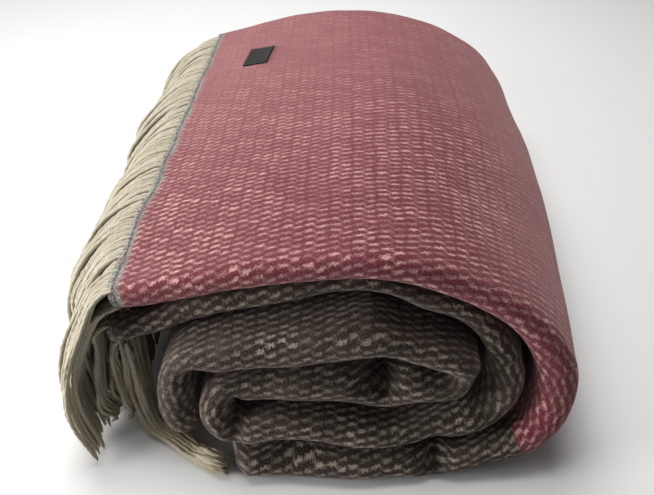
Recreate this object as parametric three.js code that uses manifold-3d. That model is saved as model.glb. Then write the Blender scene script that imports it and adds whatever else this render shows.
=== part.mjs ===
// A wool throw with fringed ends, folded in three across its width, doubled end to end and rolled.
// Millimetres, +Z up. The roll's open end faces -Y, and its two fringed ends lie at the left, -X.
import * as THREE from "three";
import { mergeVertices } from "three/addons/utils/BufferGeometryUtils.js";
import Module from "manifold-3d";

const wasm = await Module();
wasm.setup();

// Driving dimensions
const clothThick = 3;
const foldedDepth = 511;      // front fold to rear fold of the cloth folded in three
const frontShare = 0.4;       // how far the rear edge follows the front edge in and out
const selvageSetback = 13;    // the free selvage at the rear lies this far inside the rear fold
const tuckedSetback = 14;     // the tucked selvage lies this far behind the middle of the front fold
const pieceGap = 0.35;
const stripWidth = 5;         // the grey woven end band that holds the fringe
const strandRadius = 2.3;
const strandRootRadius = 1.2; // thinner than the cloth, where the strand leaves the end band
const strandsPerPly = 24;
const strandRootDepth = 2.5;
const rearDrop = 0.115;       // the roll is this share lower at the rear
const rearSplay = 30;         // the right-hand turn widens towards the rear
const leftSplay = -5;         // the fringed ends lie a little further in towards the rear
const topWave = 1.6;
const waveLength = 230;
const plySteps = 3;            // straight lengths that each ply is drawn in
const maxTurn = 0.40;         // radians between two stations of the roll
const maxRun = 40;            // millimetres between two stations of the roll
const label = { width: 28, length: 54, thick: 0.9, x: -93, y: 386, turn: -0.07, gap: 0.6 };

// The roll seen from its open end: x and z of the folded layer's middle, its thickness over three
// plies, and the y of its front fold. One list for each stretch, in the order in which the cloth runs.
const columns = ["x", "z", "thick", "front"];
const roll = {
  pinkTop: [
    [-158, 139, 20, 5], [-141, 143, 21, 4], [-119, 150, 21, 4], [-90, 157, 21, 4], [-58, 164, 21, 4],
    [-26, 168, 21, 4], [7, 172, 21, 3], [37, 173, 21, 3], [69, 167, 21, 3], [101, 153, 21, 0],
  ],
  outerRightTurn: [
    [129, 136, 22, -5], [154, 114, 25, -12], [166, 89, 31, -20], [170, 62, 33, -26],
    [163, 39, 32, -33], [146, 23, 28, -38], [124, 15, 25, -44],
  ],
  underside: [
    [98, 12, 24, -49], [53, 12, 24, -50], [0, 12, 24, -51], [-40, 12, 24, -52], [-62, 12, 24, -52], [-76, 12, 24, -54],
  ],
  tuckedCorner: [[-87, 12, 24, -6], [-103, 14, 22, 14], [-114, 22, 20, -24]],
  leftTurn: [
    [-120, 34, 24, -34], [-123, 50, 28, -32], [-123, 66, 29, -29], [-120, 82, 27, -26], [-111, 96, 24, -25],
  ],
  coreTop: [
    [-95, 103, 23, -24], [-71, 106.5, 25, -22], [-26, 110.5, 29, -21], [-3, 113.5, 29, -21],
    [16, 116, 28, -21], [33, 119, 25, -21], [50, 114, 25, -21], [70, 108, 22, -22],
  ],
  coreFold: [[85, 103, 20, -24], [95.5, 97.5, 19, -24], [99, 89, 19, -24], [95.5, 80, 19, -25], [85, 75, 20, -25]],
  coreBottom: [
    [69, 72, 31, -26], [50, 71, 44, -26], [33, 65, 33, -25], [16, 75, 43, -26], [-3, 77, 38, -26],
    [-26, 79, 29, -28], [-53, 80, 23, -29], [-74, 79, 21, -32],
  ],
  bulge: [[-87, 75, 24, -36], [-92, 61.5, 26, -40], [-88, 48, 27, -42], [-75, 42, 27, -44]],
  innerUnderside: [
    [-60, 45, 32, -44], [-45, 47, 35, -44], [-26, 46.5, 30, -43], [-3, 42, 28, -42], [18, 38.5, 23, -42],
    [40, 35.5, 18, -41], [58, 36, 19, -39], [76, 39, 23, -36],
  ],
  innerRightTurn: [
    [100, 44, 29, -33], [120, 54, 31, -29], [129, 70, 31, -25], [128.5, 88, 28, -18], [121, 107, 21, -10],
  ],
  greyTop: [
    [106, 123, 18, 0], [85, 135, 18, 7], [59, 144, 18, 8], [36, 150, 18, 8], [11, 150, 18, 8],
    [-16, 147, 18, 8], [-42, 143, 18, 8], [-69, 138, 18, 7], [-92, 133, 18, 7], [-114, 125, 18, 7],
    [-133, 115, 20, 5], [-166, 101, 21, 5],
  ],
};

// Each row of strands leaves one ply of one end. Its bends are how far out from the root the strand
// lies, and its height as a share of the root's. The floor bends of a row that reaches the floor are
// the same distance out, and the height above the floor in millimetres.
const fringeRows = {
  fringe_pink_end: [
    { ply: 1, bends: [[18, 1], [43, 0.92], [56, 0.71], [58, 0.42], [52, 0.16]] },
    { ply: 0, bends: [[16, 0.99], [37, 0.9], [49, 0.69], [52, 0.42], [47, 0.15]] },
    { ply: -1, bends: [[14, 0.98], [32, 0.89], [43, 0.68], [46, 0.41], [42, 0.13]] },
  ],
  fringe_grey_end: [
    { ply: -1, bends: [[10, 0.97], [17, 0.87], [20, 0.65], [20, 0.35]], floor: [[22, 9], [31, 1.2], [46, 1.2]] },
    { ply: 0, bends: [[8, 0.96], [12.5, 0.86], [14, 0.64], [14, 0.39]], floor: [[15.5, 8], [20, 1.2], [29, 1.2]] },
    { ply: 1, bends: [[6, 0.95], [8, 0.85], [8.5, 0.65], [8.5, 0.41]], floor: [[9, 7], [12, 1.2], [18, 1.2]] },
  ],
};

const materials = {
  cloth: new THREE.MeshStandardMaterial({ name: "wool", color: 0x8a6a6b, roughness: 0.95, metalness: 0 }),
  fringe: new THREE.MeshStandardMaterial({ name: "cream wool", color: 0xcfc6ae, roughness: 0.95, metalness: 0 }),
  label: new THREE.MeshStandardMaterial({ name: "label", color: 0x15140f, roughness: 0.7, metalness: 0 }),
};

const clamp01 = (value) => Math.min(1, Math.max(0, value));
const soft = (value) => clamp01(value) ** 2 * (3 - 2 * clamp01(value));

// A repeatable number from -1 to 1 for strand i of row j.
function jitter(i, j) {
  const raw = Math.sin(i * 12.9898 + j * 78.233) * 43758.5453;
  return 2 * (raw - Math.floor(raw)) - 1;
}

// The whole roll eases out to the sides and sinks towards the rear, and its top waves a little.
function settle(x, y, z) {
  const back = clamp01(y / foldedDepth);
  const right = rearSplay * Math.sin(Math.PI * 0.72 * back) * soft((x + 26) / 200);
  const left = leftSplay * back * soft(-x / 160);
  const wave = topWave * Math.sin((2 * Math.PI * y) / waveLength + x / 90) * soft((z - 40) / 120);
  return [x + right - left, y, z * (1 - rearDrop * back) + wave * soft(y / 60)];
}

// Uniform cubic B-spline through the roll's rows, with its stretches joined.
function rollCurve() {
  const rows = Object.values(roll).flat();
  const mirrored = (end, next) => end.map((value, k) => 2 * value - next[k]);
  const padded = [mirrored(rows[0], rows[1]), ...rows, mirrored(rows.at(-1), rows.at(-2))];
  const pointsPerRow = 12;
  const points = [];
  const addPoint = (span, t) => {
    const weights = [(1 - t) ** 3, 3 * t ** 3 - 6 * t * t + 4, 1 + 3 * t + 3 * t * t - 3 * t ** 3, t ** 3];
    const point = {};
    columns.forEach((name, k) => {
      point[name] = weights.reduce((sum, weight, w) => sum + (weight / 6) * padded[span + w][k], 0);
    });
    points.push(point);
  };
  for (let span = 0; span < rows.length - 1; span += 1) {
    for (let step = 0; step < pointsPerRow; step += 1) addPoint(span, step / pointsPerRow);
  }
  addPoint(rows.length - 2, 1);
  points.forEach((point, i) => {
    const before = points[Math.max(0, i - 1)];
    const after = points[Math.min(points.length - 1, i + 1)];
    point.heading = Math.atan2(after.z - before.z, after.x - before.x);
  });
  return points;
}

// Stations along the roll, close together where it turns and further apart where it runs straight.
function rollStations() {
  const points = rollCurve();
  const stations = [points[0]];
  let run = 0;
  let turn = 0;
  for (let i = 1; i < points.length; i += 1) {
    const step = points[i].heading - points[i - 1].heading;
    run += Math.hypot(points[i].x - points[i - 1].x, points[i].z - points[i - 1].z);
    turn += Math.abs(Math.atan2(Math.sin(step), Math.cos(step)));
    const last = i === points.length - 1;
    if (turn >= maxTurn || run >= maxRun || last) {
      stations.push(points[i]);
      run = 0;
      turn = 0;
    }
  }
  return stations;
}

// Where the folded cloth begins and ends in depth at one station.
function depthOf(station) {
  const half = station.thick / 2;
  const rear = foldedDepth + frontShare * station.front;
  return { half, pitch: half - clothThick / 2, front: station.front, rear };
}

// The middle of the cloth folded in three, as one back-and-forth line of y and height with its
// direction: the free ply, the big front fold, the outer ply, the small rear fold, the tucked ply.
function foldedLine(station) {
  const { half, pitch, front, rear } = depthOf(station);
  const foldY = front + half;
  const rearY = rear - pitch / 2 - clothThick / 2;
  const tuckedY = foldY + tuckedSetback;
  const selvageY = rear - selvageSetback;
  const line = [];
  const add = (y, height, dy, dh) => line.push({ y, height, dy, dh });
  const ply = (from, to, height) => {
    for (let i = 1; i < plySteps; i += 1) {
      add(from + ((to - from) * i) / plySteps, height, Math.sign(to - from), 0);
    }
  };
  const fold = (y, height, radius, start, steps) => {
    for (let i = 0; i <= steps; i += 1) {
      const angle = start - (Math.PI * i) / steps;
      add(y + radius * Math.cos(angle), height + radius * Math.sin(angle), Math.sin(angle), -Math.cos(angle));
    }
  };
  add(selvageY, -pitch, -1, 0);
  ply(selvageY, foldY, -pitch);
  fold(foldY, 0, pitch, -Math.PI / 2, 4);
  ply(foldY, rearY, pitch);
  fold(rearY, pitch / 2, pitch / 2, Math.PI / 2, 2);
  ply(rearY, tuckedY, 0);
  add(tuckedY, 0, -1, 0);
  return line;
}

// The closed outline of that cloth: along one of its faces, and back along the other.
function foldedOutline(station) {
  const line = foldedLine(station);
  const face = (side) => line.map((point) => ({
    y: point.y - (side * clothThick * point.dh) / 2,
    height: point.height + (side * clothThick * point.dy) / 2,
  }));
  return [...face(1), ...face(-1).reverse()];
}

// A point of the roll from its station, its depth and its height across the layer.
function rollPoint(station, y, height, along = 0) {
  const x = station.x - Math.sin(station.heading) * height + Math.cos(station.heading) * along;
  const z = station.z + Math.cos(station.heading) * height + Math.sin(station.heading) * along;
  return settle(x, y, Math.max(z, 0));
}

// Skins a row of equal rings into one closed solid, with its faces turned outwards. A ring runs
// along one face and back along the other, so each end closes with quads between the two faces.
function skinRings(rings) {
  const count = rings[0].length;
  const lastRing = (rings.length - 1) * count;
  const indices = [];
  for (let start = 0; start < lastRing; start += count) {
    for (let j = 0; j < count; j += 1) {
      const [a, b] = [start + j, start + ((j + 1) % count)];
      indices.push(a, a + count, b, b, a + count, b + count);
    }
  }
  for (let i = 0; i + 1 < count - 1 - i; i += 1) {
    const [near, nearNext, farNext, far] = [i, i + 1, count - 2 - i, count - 1 - i];
    if (nearNext !== farNext) {
      indices.push(near, nearNext, farNext);
      indices.push(lastRing + near, lastRing + farNext, lastRing + nearNext);
    }
    indices.push(near, farNext, far);
    indices.push(lastRing + near, lastRing + far, lastRing + farNext);
  }
  const geometry = new THREE.BufferGeometry();
  geometry.setAttribute("position", new THREE.Float32BufferAttribute(rings.flat(2), 3));
  geometry.setIndex(indices);
  return facingOut(geometry);
}

// Turns every face over where the solid came out with a negative volume.
function facingOut(geometry) {
  const position = geometry.getAttribute("position");
  const index = geometry.getIndex();
  const [a, b, c] = [new THREE.Vector3(), new THREE.Vector3(), new THREE.Vector3()];
  let volume = 0;
  for (let i = 0; i < index.count; i += 3) {
    a.fromBufferAttribute(position, index.getX(i));
    b.fromBufferAttribute(position, index.getX(i + 1));
    c.fromBufferAttribute(position, index.getX(i + 2));
    volume += a.dot(b.cross(c)) / 6;
  }
  if (volume < 0) {
    const turned = [];
    for (let i = 0; i < index.count; i += 3) {
      turned.push(index.getX(i), index.getX(i + 2), index.getX(i + 1));
    }
    geometry.setIndex(turned);
  }
  return geometry;
}

function clothGeometry(stations) {
  const rings = stations.map((station) =>
    foldedOutline(station).map((point) => rollPoint(station, point.y, point.height)));
  return skinRings(rings);
}

// The end band beyond one end of the cloth: outward is -1 at the first station and 1 at the last.
function stripGeometry(station, outward) {
  const rings = [pieceGap, pieceGap + stripWidth].map((out) =>
    foldedOutline(station).map((point) => rollPoint(station, point.y, point.height, outward * out)));
  return skinRings(rings);
}

// One strand: a three-sided prism along its bends, thinner at its root.
function strandGeometry(points) {
  const sideAxis = new THREE.Vector3(0, 1, 0);
  const outline = [0, 1, 2].map((side) => {
    const angle = Math.PI / 2 + (side * 2 * Math.PI) / 3;
    return { y: Math.cos(angle), height: Math.sin(angle) };
  });
  const rings = points.map((point, i) => {
    const before = points[Math.max(0, i - 1)];
    const after = points[Math.min(points.length - 1, i + 1)];
    const along = after.clone().sub(before).normalize();
    const upward = sideAxis.clone().cross(along).normalize();
    const radius = i === 0 ? strandRootRadius : strandRadius;
    return outline.map((corner) => point.clone()
      .addScaledVector(sideAxis, corner.y * radius)
      .addScaledVector(upward, corner.height * radius)
      .toArray());
  });
  return skinRings(rings);
}

// The y span over which one ply of the folded end carries strands.
function plySpan(station, ply) {
  const { half, front, rear, pitch } = depthOf(station);
  if (ply === 0) return [front + half + tuckedSetback + 4, rear - pitch];
  if (ply < 0) return [front + half, rear - selvageSetback - 4];
  return [front + half, rear - pitch];
}

// The bends of strand i in a row: it sways a little, and near the open end it leans forwards.
function strandPoints(station, outward, row, i, rowNumber) {
  const [y0, y1] = plySpan(station, row.ply);
  const y = y0 + ((y1 - y0) * (i + 0.5 + 0.12 * jitter(i, rowNumber))) / strandsPerPly;
  const height = row.ply * depthOf(station).pitch;
  const lean = 42 * Math.exp(-(y - y0) / 60);
  const sway = 4 * jitter(i, rowNumber + 7);
  const wide = 1 + 0.02 * jitter(i, rowNumber + 13);
  const inside = rollPoint(station, y, height, outward * (pieceGap + strandRootDepth));
  const edge = new THREE.Vector3(...rollPoint(station, y, height, outward * (pieceGap + stripWidth)));
  const swung = (share) => y + (sway - lean) * (1 - share);
  const hanging = row.bends.map(([out, share]) =>
    new THREE.Vector3(edge.x - out * wide, swung(share), edge.z * share));
  const resting = (row.floor ?? []).map(([out, z]) =>
    new THREE.Vector3(edge.x - out * wide, swung(z / edge.z), z));
  return [new THREE.Vector3(...inside), ...hanging, ...resting];
}

function toManifold(geometry) {
  const bare = geometry.clone();
  bare.deleteAttribute("normal");
  bare.deleteAttribute("uv");
  const merged = mergeVertices(bare, 1e-4);
  return new wasm.Manifold(new wasm.Mesh({
    numProp: 3,
    vertProperties: new Float32Array(merged.getAttribute("position").array),
    triVerts: new Uint32Array(merged.getIndex().array),
  }));
}

function fromManifold(solid) {
  const mesh = solid.getMesh();
  const geometry = new THREE.BufferGeometry();
  geometry.setAttribute("position", new THREE.BufferAttribute(mesh.vertProperties, 3));
  geometry.setIndex(new THREE.BufferAttribute(mesh.triVerts, 1));
  return geometry;
}

function fringeGeometry(station, outward, rows) {
  let fringe = toManifold(stripGeometry(station, outward));
  rows.forEach((row, rowNumber) => {
    for (let i = 0; i < strandsPerPly; i += 1) {
      const points = strandPoints(station, outward, row, i, rowNumber);
      fringe = fringe.add(toManifold(strandGeometry(points)));
    }
  });
  return fromManifold(fringe);
}

// The woven label lies on the top, so its two faces follow the cloth beneath it.
function labelGeometry(clothMesh) {
  const down = new THREE.Raycaster();
  const acrossSteps = 3;
  const alongSteps = 4;
  const heightAt = (x, y) => {
    down.set(new THREE.Vector3(x, y, 1000), new THREE.Vector3(0, 0, -1));
    return down.intersectObject(clothMesh)[0].point.z;
  };
  const rings = [];
  for (let i = 0; i <= alongSteps; i += 1) {
    const ring = [];
    const v = label.length * (i / alongSteps - 0.5);
    for (let j = 0; j <= acrossSteps; j += 1) {
      const u = label.width * (j / acrossSteps - 0.5);
      const x = label.x + u * Math.cos(label.turn) - v * Math.sin(label.turn);
      const y = label.y + u * Math.sin(label.turn) + v * Math.cos(label.turn);
      ring.push([x, y, heightAt(x, y) + label.gap]);
    }
    const above = ring.map(([x, y, z]) => [x, y, z + label.thick]).reverse();
    rings.push([...ring, ...above]);
  }
  return skinRings(rings);
}

function namedMesh(name, geometry, material) {
  const mesh = new THREE.Mesh(geometry, material);
  mesh.name = name;
  return mesh;
}

const stations = rollStations();
const cloth = namedMesh("cloth", clothGeometry(stations), materials.cloth);
const part = new THREE.Group();
part.add(cloth);
part.add(namedMesh(
  "fringe_pink_end", fringeGeometry(stations[0], -1, fringeRows.fringe_pink_end), materials.fringe));
part.add(namedMesh(
  "fringe_grey_end", fringeGeometry(stations.at(-1), 1, fringeRows.fringe_grey_end), materials.fringe));
part.add(namedMesh("label", labelGeometry(cloth), materials.label));

// The origin goes to the middle of the box's underside.
const box = new THREE.Box3().setFromObject(part);
const middle = box.getCenter(new THREE.Vector3());
part.position.set(-middle.x, -middle.y, -box.min.z);
part.updateMatrixWorld(true);

export default part;
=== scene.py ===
import math
import random

import bpy
import numpy as np
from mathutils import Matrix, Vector, noise
from mathutils.bvhtree import BVHTree


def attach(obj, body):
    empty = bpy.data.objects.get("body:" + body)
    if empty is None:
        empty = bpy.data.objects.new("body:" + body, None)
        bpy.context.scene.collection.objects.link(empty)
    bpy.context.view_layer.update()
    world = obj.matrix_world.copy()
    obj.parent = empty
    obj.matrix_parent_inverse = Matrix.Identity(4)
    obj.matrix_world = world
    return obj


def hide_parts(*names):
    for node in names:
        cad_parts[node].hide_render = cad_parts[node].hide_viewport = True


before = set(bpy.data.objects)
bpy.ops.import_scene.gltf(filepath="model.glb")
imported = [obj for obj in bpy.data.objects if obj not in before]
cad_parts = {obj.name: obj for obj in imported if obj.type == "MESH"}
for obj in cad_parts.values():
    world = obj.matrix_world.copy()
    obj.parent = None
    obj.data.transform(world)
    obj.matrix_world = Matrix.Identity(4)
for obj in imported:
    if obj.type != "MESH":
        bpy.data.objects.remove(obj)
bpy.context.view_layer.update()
print("frame loaded")

# The folds repeat the part's own sizes, in millimetres: x across, y into the roll, z up.
blanket = {
    "shift": (6.352, -231.054),  # puts the roll where the CAD part has it
    "clothThick": 2.8,
    "foldedDepth": 511,
    "frontShare": 0.4,         # how far the rear edge follows the front edge in and out
    "selvageSetback": 13,
    "tuckedSetback": 14,
    "rearDrop": 0.115,
    "rearSplay": 30,
    "leftSplay": -5,
    "splayTurn": 0.72,         # the share of a half wave that the splay follows to the rear
    "topWave": 1.6,
    "waveLength": 230,
    "stepRun": 9.0,            # longest step along the roll
    "stepTurn": 0.19,          # sharpest step in a bend, radians
    "foldRun": 500,            # from the free selvage to the front fold, across the width
    "plySteps": {"free": 22, "frontFold": 14, "outer": 56, "rearFold": 6, "tucked": 14},
}

# Rows along the roll from the pink end: x, z, thickness over three plies, y of the front fold.
rollRows = {
    "pinkTop": [
        (-158, 139, 20, 5), (-141, 143, 21, 4), (-119, 150, 21, 4), (-90, 157, 21, 4), (-58, 164, 21, 4),
        (-26, 168, 21, 4), (7, 172, 21, 3), (37, 173, 21, 3), (69, 167, 21, 3), (101, 153, 21, 0)],
    "outerRightTurn": [
        (129, 136, 22, -5), (154, 114, 25, -12), (166, 89, 31, -20), (170, 62, 33, -26),
        (163, 39, 32, -33), (146, 23, 28, -38), (124, 15, 25, -44)],
    "underside": [
        (98, 12, 24, -49), (53, 12, 24, -50), (0, 12, 24, -51), (-40, 12, 24, -52), (-62, 12, 24, -52),
        (-76, 12, 24, -54)],
    "tuckedCorner": [(-87, 12, 24, -6), (-103, 14, 22, 14), (-114, 22, 20, -24)],
    "leftTurn": [
        (-120, 34, 24, -34), (-123, 50, 28, -32), (-123, 66, 29, -29), (-120, 82, 27, -26),
        (-111, 96, 24, -25)],
    "coreTop": [
        (-95, 103, 23, -24), (-71, 106.5, 25, -22), (-26, 110.5, 29, -21), (-3, 113.5, 29, -21),
        (16, 116, 28, -21), (33, 119, 25, -21), (50, 114, 25, -21), (70, 108, 22, -22)],
    "coreFold": [
        (85, 103, 20, -24), (95.5, 97.5, 19, -24), (99, 89, 19, -24), (95.5, 80, 19, -25), (85, 75, 20, -25)],
    "coreBottom": [
        (69, 72, 31, -26), (50, 71, 44, -26), (33, 65, 33, -25), (16, 75, 43, -26), (-3, 77, 38, -26),
        (-26, 79, 29, -28), (-53, 80, 23, -29), (-74, 79, 21, -32)],
    "bulge": [(-87, 75, 24, -36), (-92, 61.5, 26, -40), (-88, 48, 27, -42), (-75, 42, 27, -44)],
    "innerUnderside": [
        (-60, 45, 32, -44), (-45, 47, 35, -44), (-26, 46.5, 30, -43), (-3, 42, 28, -42), (18, 38.5, 23, -42),
        (40, 35.5, 18, -41), (58, 36, 19, -39), (76, 39, 23, -36)],
    "innerRightTurn": [
        (100, 44, 29, -33), (120, 54, 31, -29), (129, 70, 31, -25), (128.5, 88, 28, -18),
        (121, 107, 21, -10)],
    "greyTop": [
        (106, 123, 18, 0), (85, 135, 18, 7), (59, 144, 18, 8), (36, 150, 18, 8), (11, 150, 18, 8),
        (-16, 147, 18, 8), (-42, 143, 18, 8), (-69, 138, 18, 7), (-92, 133, 18, 7), (-114, 125, 18, 7),
        (-133, 115, 20, 5), (-166, 101, 21, 5)],
}

# Unevenness of the hand-folded bundle, in millimetres.
folds = {
    "swells": [(2.2, 95, 1), (1.0, 38, 11)],  # height, span and seed of smooth swells, shared by the layers
    "edgeWander": 3.2, "edgeSpan": 40,        # the front folds wander in and out
    "endWander": 4.16, "endSpan": 55,         # the fringed ends aren't cut straight
    "endReach": 160, "endFade": 45,           # which fades out along the cloth
    # Pockets and creases at the open end: middle x, y, z; reach across, in depth and up; push along x, y, z
    "dents": {
        "archedGap": ((-30, -52, 29), (19, 30, 8), (0, 20, 0)),
        "underNotch": ((78, -52, 22), (8, 28, 11), (0, 17, -2)),
        "cornerCrease": ((-103, -32, 88), (11, 30, 9), (0, 19, 0)),
        "bulgeCrease": ((-76, -44, 58), (6, 26, 18), (0, 15, 0)),
        "corePocket": ((112, -28, 80), (10, 32, 17), (0, 22, 0)),
        "coreHole": ((30, -27, 91), (12, 34, 13), (0, 20, 0)),
        "coreHoleTop": ((29, -18, 100), (14, 44, 7), (0, 3, 3)),
        "coreHoleFloor": ((31, -18, 85), (12, 44, 9), (0, 6, -7)),
        "coreHoleTip": ((37, -27, 77), (5, 30, 8), (0, 13, 0)),
        "underGreyGap": ((22, 2, 138), (34, 30, 9), (0, 13, 2)),
        "greyKink": ((60, 4, 141), (26, 40, 16), (0, -2, -4)),
        "coreShoulder": ((72, -26, 60), (20, 22, 9), (0, 5, 3)),
        "rightCornerLift": ((138, -30, 2), (34, 60, 18), (-2, 0, 11)),
        "undersideLift": ((20, -52, 10), (30, 24, 14), (0, -3, 0)),
    },
}


def softStep(value):
    t = np.clip(value, 0, 1)
    return t * t * (3 - 2 * t)


# Smooth noise from -1 to 1 at each row of points, with one value per span millimetres.
def smoothNoise(points, span, seed):
    return np.array([noise.noise(Vector(p) / span + Vector((seed * 7.31, seed * 3.17, seed * 5.93)))
                     for p in points])


# The roll eases out to the sides and sinks towards the rear.
def settle(x, y, z):
    back = np.clip(y / blanket["foldedDepth"], 0, 1)
    right = blanket["rearSplay"] * np.sin(np.pi * blanket["splayTurn"] * back) * softStep((x + 26) / 200)
    left = blanket["leftSplay"] * back * softStep(-x / 160)
    wave = np.sin(2 * np.pi * y / blanket["waveLength"] + x / 90) * softStep((z - 40) / 120)
    wave = blanket["topWave"] * wave
    return x + right - left, y, z * (1 - blanket["rearDrop"] * back) + wave * softStep(y / 60)


# The middle of the layer along the roll: x, z, thickness, front, heading, and the run so far.
# A uniform cubic B-spline over the rows, with one more row put on at either end.
def rollPath():
    samples = 24
    rows = np.array([row for part in rollRows.values() for row in part], float)
    padded = np.vstack([2 * rows[0] - rows[1], rows, 2 * rows[-1] - rows[-2]])
    points = []
    for span in range(len(rows) - 1):
        for t in np.arange(samples) / samples:
            weights = np.array([
                (1 - t) ** 3, 3 * t ** 3 - 6 * t * t + 4, 1 + 3 * t + 3 * t * t - 3 * t ** 3, t ** 3])
            points.append(weights @ padded[span:span + 4] / 6)
    points.append((padded[-3] + 4 * padded[-2] + padded[-1]) / 6)
    path = np.array(points)
    slope = np.gradient(path[:, :2], axis=0)
    heading = np.unwrap(np.arctan2(slope[:, 1], slope[:, 0]))
    step = np.hypot(*np.diff(path[:, :2], axis=0).T)
    run = np.concatenate([[0], np.cumsum(step)])
    return np.column_stack([path, heading, run])


# Stations close together in the bends and further apart on the straight.
def rollStations(path):
    effort = np.diff(path[:, 5]) / blanket["stepRun"] + np.abs(np.diff(path[:, 4])) / blanket["stepTurn"]
    total = np.concatenate([[0], np.cumsum(effort)])
    wanted = np.linspace(0, total[-1], int(total[-1]) + 1)
    return np.column_stack([np.interp(wanted, total, path[:, k]) for k in range(6)])


# A station at any run, carried on straight past either end of the cloth.
def stationAt(path, run):
    inside = min(max(run, 0), path[-1, 5])
    station = np.array([np.interp(inside, path[:, 5], path[:, k]) for k in range(6)])
    beyond = run - inside
    station[0] += math.cos(station[4]) * beyond
    station[1] += math.sin(station[4]) * beyond
    station[5] = run
    return station


# The cloth folded in three at each station: y, height, and the direction of the line.
def foldedLine(stations):
    steps = blanket["plySteps"]
    half = stations[:, 2:3] / 2
    pitch = half - 1.5
    front = stations[:, 3:4]
    rear = blanket["foldedDepth"] + blanket["frontShare"] * front
    foldY = front + half
    rearY = rear - pitch / 2 - 1.5
    flat = np.zeros_like(half)

    # The steps of a ply crowd towards the open end, where the folds show.
    def ply(fromY, toY, height, count, crowd):
        t = np.arange(count)[None, :] / count
        t = t ** crowd if crowd > 0 else 1 - (1 - t) ** -crowd
        direction = np.sign(toY - fromY)
        spread = np.ones_like(t)
        return fromY + (toY - fromY) * t, height * spread, direction * spread, flat * spread

    def fold(middleY, middleHeight, radius, start, count):
        angle = start - np.pi * (np.arange(count) / count)[None, :]
        return (middleY + radius * np.cos(angle), middleHeight + radius * np.sin(angle),
                np.sin(angle) + flat, -np.cos(angle) + flat)

    parts = [
        ply(rear - blanket["selvageSetback"], foldY, -pitch, steps["free"], -1.7),
        fold(foldY, flat, pitch, -np.pi / 2, steps["frontFold"]),
        ply(foldY, rearY, pitch, steps["outer"], 1.35),
        fold(rearY, pitch / 2, pitch / 2, np.pi / 2, steps["rearFold"]),
        ply(rearY, foldY + blanket["tuckedSetback"], flat, steps["tucked"], -1.7),
        (foldY + blanket["tuckedSetback"], flat, flat - 1, flat),
    ]
    return [np.concatenate([part[k] for part in parts], axis=1) for k in range(4)]


# How far the fringed end stands out at this depth, fading out along the cloth.
def endWander(y, height, run):
    near = min(run, length - run)
    if near > folds["endReach"]:
        return np.zeros_like(y)
    seed = 3 if run < length / 2 else 8
    points = np.column_stack([y.ravel(), height.ravel() * 2, np.zeros(y.size)])
    wander = smoothNoise(points, folds["endSpan"], seed).reshape(y.shape)
    return folds["endWander"] * wander * math.exp(-max(near, 0) / folds["endFade"])


# Moves points by smooth fields alone, so that layers that lie together move together.
def unevenness(points):
    moved = points.copy()
    lift = softStep(points[:, 2] / 60)
    frontFade = np.exp(-((points[:, 1] + 30) / 45) ** 2)
    for height, span, seed in folds["swells"]:
        moved[:, 2] += height * smoothNoise(points, span, seed) * lift
        moved[:, 0] += height * smoothNoise(points, span, seed + 1) * lift * 0.8
    moved[:, 1] += folds["edgeWander"] * smoothNoise(points, folds["edgeSpan"], 4) * frontFade
    for middle, reach, push in folds["dents"].values():
        away = (points - np.array(middle)) / np.array(reach)
        share = np.exp(-(away ** 2).sum(axis=1))
        moved += share[:, None] * np.array(push)
    moved[:, 2] = np.maximum(moved[:, 2], 0)
    return moved


# Points in the part's frame, in metres, from depth and height across the layer at each station.
def place(stations, y, height):
    heading = stations[:, 4:5]
    outward = np.where(stations[:, 5:6] < length / 2, -1, 1)
    along = np.vstack([endWander(y[i], height[i], stations[i, 5]) for i in range(len(stations))])
    x = stations[:, 0:1] - np.sin(heading) * height + np.cos(heading) * along * outward
    z = stations[:, 1:2] + np.cos(heading) * height + np.sin(heading) * along * outward
    x, y, z = settle(x, y, np.maximum(z, 0))
    points = unevenness(np.column_stack([x.ravel(), y.ravel(), z.ravel()]))
    points[:, :2] += blanket["shift"]
    return points / 1000


def smoothMesh(name, points, faces, uvs):
    mesh = bpy.data.meshes.new(name)
    mesh.from_pydata([tuple(p) for p in points], [], faces)
    layer = mesh.uv_layers.new(name="UVMap")
    corners = np.empty(len(mesh.loops), np.int32)
    mesh.loops.foreach_get("vertex_index", corners)
    layer.data.foreach_set("uv", np.asarray(uvs, np.float32)[corners].ravel())
    mesh.polygons.foreach_set("use_smooth", [True] * len(mesh.polygons))
    mesh.update()
    piece = bpy.data.objects.new(name, mesh)
    bpy.context.collection.objects.link(piece)
    return piece


# Faces of a closed sheet of rows by cols points: its upper side, its lower side and its rim. They look
# outwards on the label, but inwards on the cloth and the bands, whose rows and columns are mirrored.
def sheetFaces(rows, cols):
    count = rows * cols
    faces = []
    for i in range(rows - 1):
        for j in range(cols - 1):
            a, b = i * cols + j, i * cols + j + 1
            c, d = a + cols, b + cols
            faces.append((a, b, d, c))
            faces.append((count + a, count + c, count + d, count + b))
    for j in range(cols - 1):
        a, b = j, j + 1
        faces.append((a, count + a, count + b, b))
        a, b = (rows - 1) * cols + j, (rows - 1) * cols + j + 1
        faces.append((a, b, count + b, count + a))
    for i in range(rows - 1):
        a, c = i * cols, (i + 1) * cols
        faces.append((a, c, count + c, count + a))
        a, c = a + cols - 1, c + cols - 1
        faces.append((a, count + a, count + c, c))
    return faces


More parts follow.
